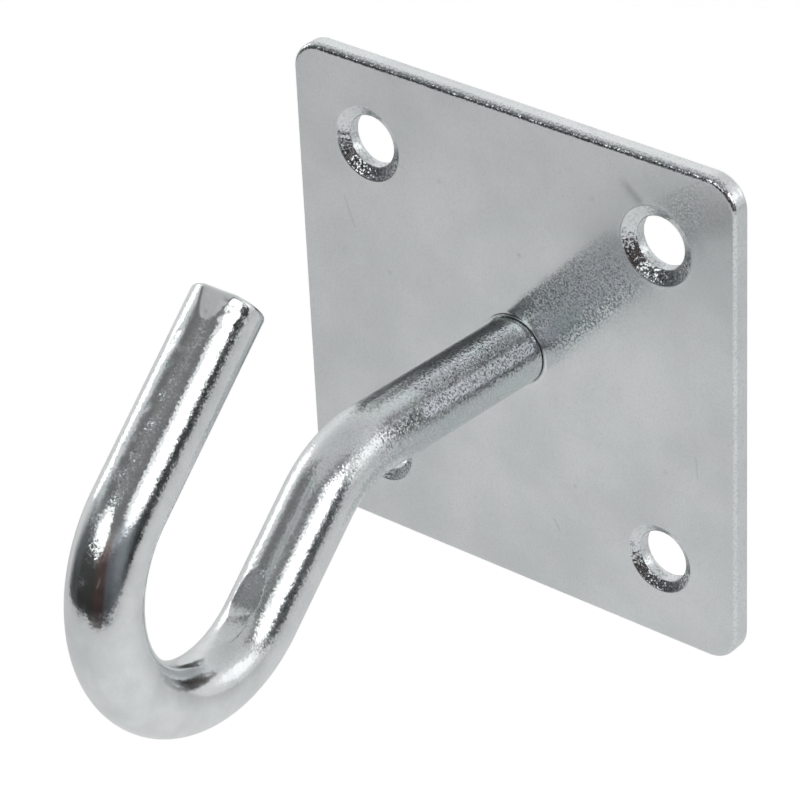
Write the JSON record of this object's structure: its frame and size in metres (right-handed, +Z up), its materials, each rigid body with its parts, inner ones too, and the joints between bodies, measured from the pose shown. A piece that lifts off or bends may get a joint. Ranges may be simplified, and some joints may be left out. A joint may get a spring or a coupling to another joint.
{
  "type": "plate hook",
  "caption": "Open hook bent from round steel bar, its tail headed over in a square sheet-steel plate with countersunk screw holes at the corners.",
  "frame": {"origin": "centre of the plate's back face, which lies against the wall", "axes": "+Z up, -Y out of the wall along the hook's shank, +X to the right as seen from the front"},
  "size_m": [0.05, 0.0626, 0.0512],
  "materials": {
    "zinc_sheet": "bright zinc plate on rolled sheet",
    "zinc_bar": "bright zinc plate on drawn bar"
  },
  "bodies": {
    "root": {"wall_plate": "zinc_sheet", "hook_rod": "zinc_bar"}
  },
  "joints": []
}
